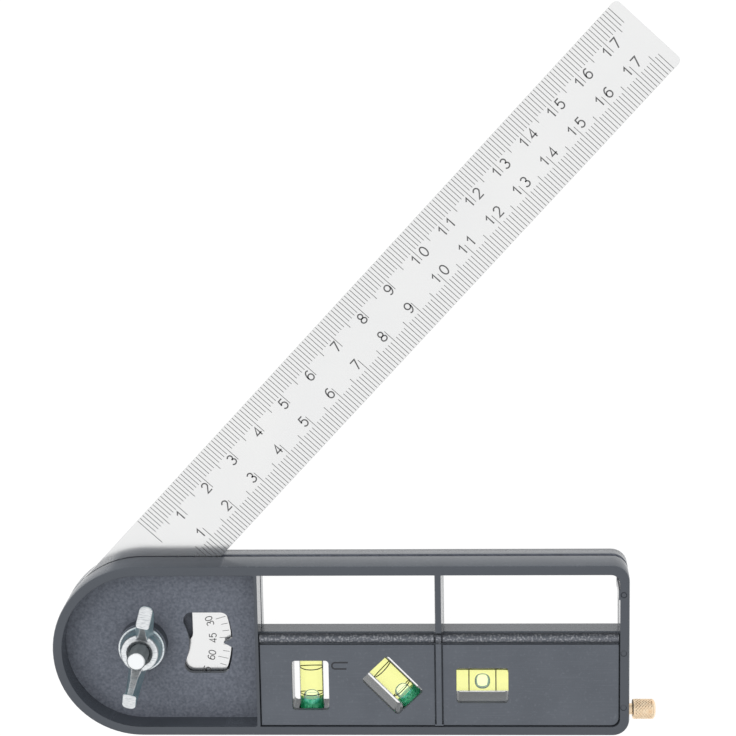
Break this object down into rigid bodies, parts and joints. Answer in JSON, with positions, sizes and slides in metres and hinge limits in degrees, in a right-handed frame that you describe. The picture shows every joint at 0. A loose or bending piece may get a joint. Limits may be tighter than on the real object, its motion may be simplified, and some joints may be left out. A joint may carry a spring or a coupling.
{
  "type": "universal angle square",
  "caption": "Universal angle square: a steel rule that turns in a slotted plastic stock, clamped by a wing nut over a protractor, with spirit vials and a scriber.",
  "frame": {"origin": "middle of the stock's back face", "axes": "+X along the stock towards its square end, +Y across the stock towards the rule, +Z out of the stock's front face"},
  "size_m": [0.16, 0.1862, 0.0242],
  "materials": {
    "stock_plastic": "matt, finely eroded mould texture",
    "rule_steel": "satin, with dark etched divisions",
    "zinc_steel": "bright blue zinc plating",
    "needle_steel": "ground steel",
    "fibre": "matt",
    "vial_clear": "clear, polished",
    "vial_fluid": "clear, pale yellow-green",
    "vial_plug": "smooth",
    "brass": "turned, with a knurled grip"
  },
  "bodies": {
    "stock": {"front_shell": "stock_plastic", "rear_shell": "stock_plastic", "vial_cover": "stock_plastic", "carriage_bolt": "zinc_steel", "pivot_bush": "fibre", "rear_friction_washer": "fibre", "front_friction_washer": "fibre", "flat_washer": "zinc_steel", "plumb_vial_tube": "vial_clear", "plumb_vial_liquid": "vial_fluid", "plumb_vial_plug": "vial_plug", "mitre_vial_tube": "vial_clear", "mitre_vial_liquid": "vial_fluid", "mitre_vial_plug": "vial_plug", "level_vial_tube": "vial_clear", "level_vial_liquid": "vial_fluid", "level_vial_plug": "vial_plug", "assembly_pin_1": "stock_plastic", "assembly_pin_2": "stock_plastic"},
    "rule": {"blade": "rule_steel"},
    "nut": {"wing_nut": "zinc_steel"},
    "scriber": {"scriber_head": "brass", "scriber_needle": "needle_steel"}
  },
  "joints": [
    {"name": "rule_pivot", "type": "hinge", "parent": "stock", "child": "rule", "pos_m": [-0.05125, 0, 0.0061], "axis": [0, 0, 1], "range_deg": [-47.1, 132.9]},
    {"name": "wing_nut_turn", "type": "hinge", "parent": "stock", "child": "nut", "pos_m": [-0.05125, 0, 0.0154], "axis": [0, 0, 1], "range_deg": [0, 360]},
    {"name": "scriber_slide", "type": "slide", "parent": "stock", "child": "scriber", "axis": [1, 0, 0], "range_m": [0, 0.056]}
  ]
}
